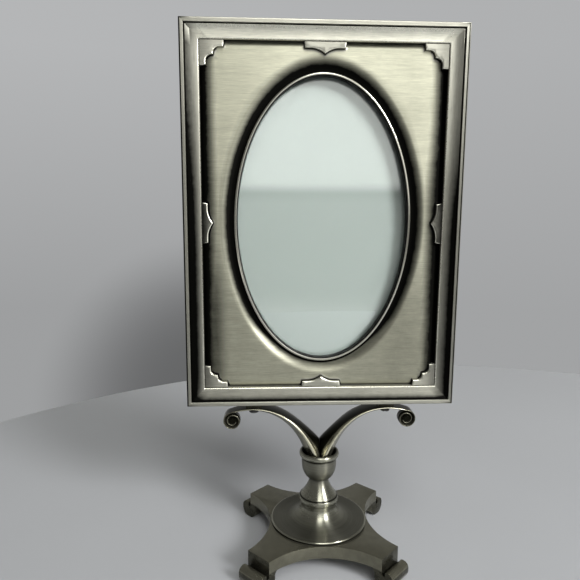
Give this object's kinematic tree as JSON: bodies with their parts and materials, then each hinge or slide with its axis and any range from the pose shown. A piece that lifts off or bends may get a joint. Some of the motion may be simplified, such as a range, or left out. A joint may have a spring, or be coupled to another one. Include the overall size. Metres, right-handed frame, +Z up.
{
  "type": "oval picture frame",
  "caption": "Pewter-coloured table-top picture frame with a rectangular border, oval window, scroll arms, turned stem and star-shaped base on scroll feet.",
  "frame": {"origin": "on the table, on the vertical axis of the stem", "axes": "+Z up along the stem, -Y towards the viewer of the picture, +X to that viewer's right"},
  "size_m": [0.15, 0.092, 0.2947],
  "materials": {
    "pewter_bright": "bright pewter plating, softly polished, dark in the grooves",
    "pewter_brushed": "pewter plating brushed level, with a near-black patina in the moat",
    "pewter_dark": "dark antiqued pewter on a casting, bright where edges are rubbed",
    "pewter_satin": "satin antiqued pewter on turned pieces",
    "dark_steel": "blackened steel",
    "plated_steel": "dull plated sheet steel",
    "clear_glass": "clear float glass",
    "white_card": "blank white card",
    "black_velvet": "black velvet over board"
  },
  "bodies": {
    "body": {"frame_moulding": "pewter_bright", "oval_panel": "pewter_brushed", "oval_bead": "pewter_bright", "glass_pane": "clear_glass", "photo_insert": "white_card", "back_board": "black_velvet", "arm_left": "pewter_dark", "arm_right": "pewter_dark", "arm_screw_left": "dark_steel", "arm_screw_right": "dark_steel", "arm_hub": "pewter_dark", "stem_cup": "pewter_satin", "stem_cone": "pewter_satin", "stem_ring": "pewter_satin", "stem_foot": "pewter_satin", "base": "pewter_dark", "tie_rod": "dark_steel", "rod_washer": "dark_steel", "rod_nut": "dark_steel", "corner_ornament_bottom_left": "pewter_bright", "corner_ornament_bottom_right": "pewter_bright", "corner_ornament_top_left": "pewter_bright", "corner_ornament_top_right": "pewter_bright", "edge_ornament_bottom": "pewter_bright", "edge_ornament_left": "pewter_bright", "edge_ornament_top": "pewter_bright", "edge_ornament_right": "pewter_bright", "turn_button_screw_bottom": "dark_steel", "turn_button_screw_left": "dark_steel", "turn_button_screw_top": "dark_steel", "turn_button_screw_right": "dark_steel"},
    "turn_button_bottom": {"turn_button_bottom": "plated_steel"},
    "turn_button_left": {"turn_button_left": "plated_steel"},
    "turn_button_top": {"turn_button_top": "plated_steel"},
    "turn_button_right": {"turn_button_right": "plated_steel"}
  },
  "joints": [
    {"name": "turn_bottom", "type": "hinge", "parent": "body", "child": "turn_button_bottom", "pos_m": [0, 0.0083, 0.0922], "axis": [0, 1, 0], "continuous": true},
    {"name": "turn_left", "type": "hinge", "parent": "body", "child": "turn_button_left", "pos_m": [-0.0725, 0.0083, 0.1922], "axis": [0, 1, 0], "continuous": true},
    {"name": "turn_top", "type": "hinge", "parent": "body", "child": "turn_button_top", "pos_m": [0, 0.0083, 0.2922], "axis": [0, 1, 0], "continuous": true},
    {"name": "turn_right", "type": "hinge", "parent": "body", "child": "turn_button_right", "pos_m": [0.0725, 0.0083, 0.1922], "axis": [0, 1, 0], "continuous": true}
  ]
}
